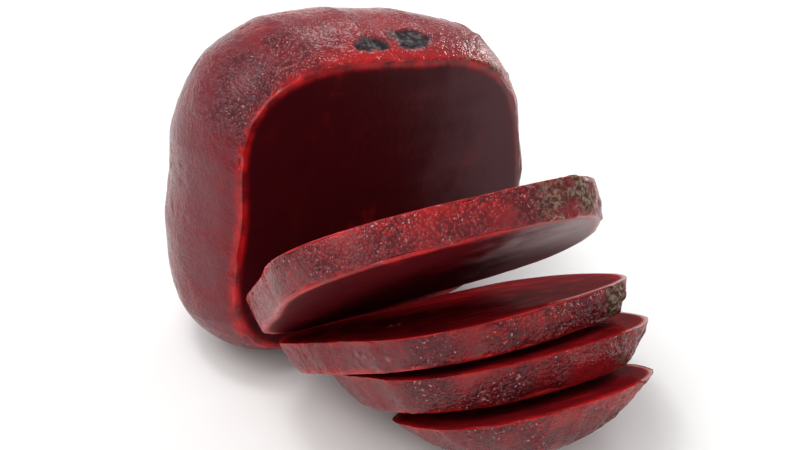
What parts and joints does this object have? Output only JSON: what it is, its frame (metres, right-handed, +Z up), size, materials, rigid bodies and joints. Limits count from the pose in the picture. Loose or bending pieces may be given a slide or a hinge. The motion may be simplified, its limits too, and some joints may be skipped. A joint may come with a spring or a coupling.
{
  "type": "part-sliced beetroot",
  "caption": "Peeled cooked beetroot, part-sliced: the standing root with its cut slices tipped forward in a row.",
  "frame": {"origin": "centre of the whole object's box, at the level of the surface it stands on", "axes": "+Z up through the crown, -Y the way the slices have fallen, +Y the uncut back of the root, +X across the cut face"},
  "size_m": [0.082, 0.1096, 0.0662],
  "materials": {
    "root_flesh": "wet gloss",
    "slice_flesh": "wet gloss"
  },
  "bodies": {
    "root": {"beetroot_body": "root_flesh", "slice_1": "slice_flesh", "slice_2": "slice_flesh", "slice_3": "slice_flesh", "slice_4": "slice_flesh"}
  },
  "joints": []
}
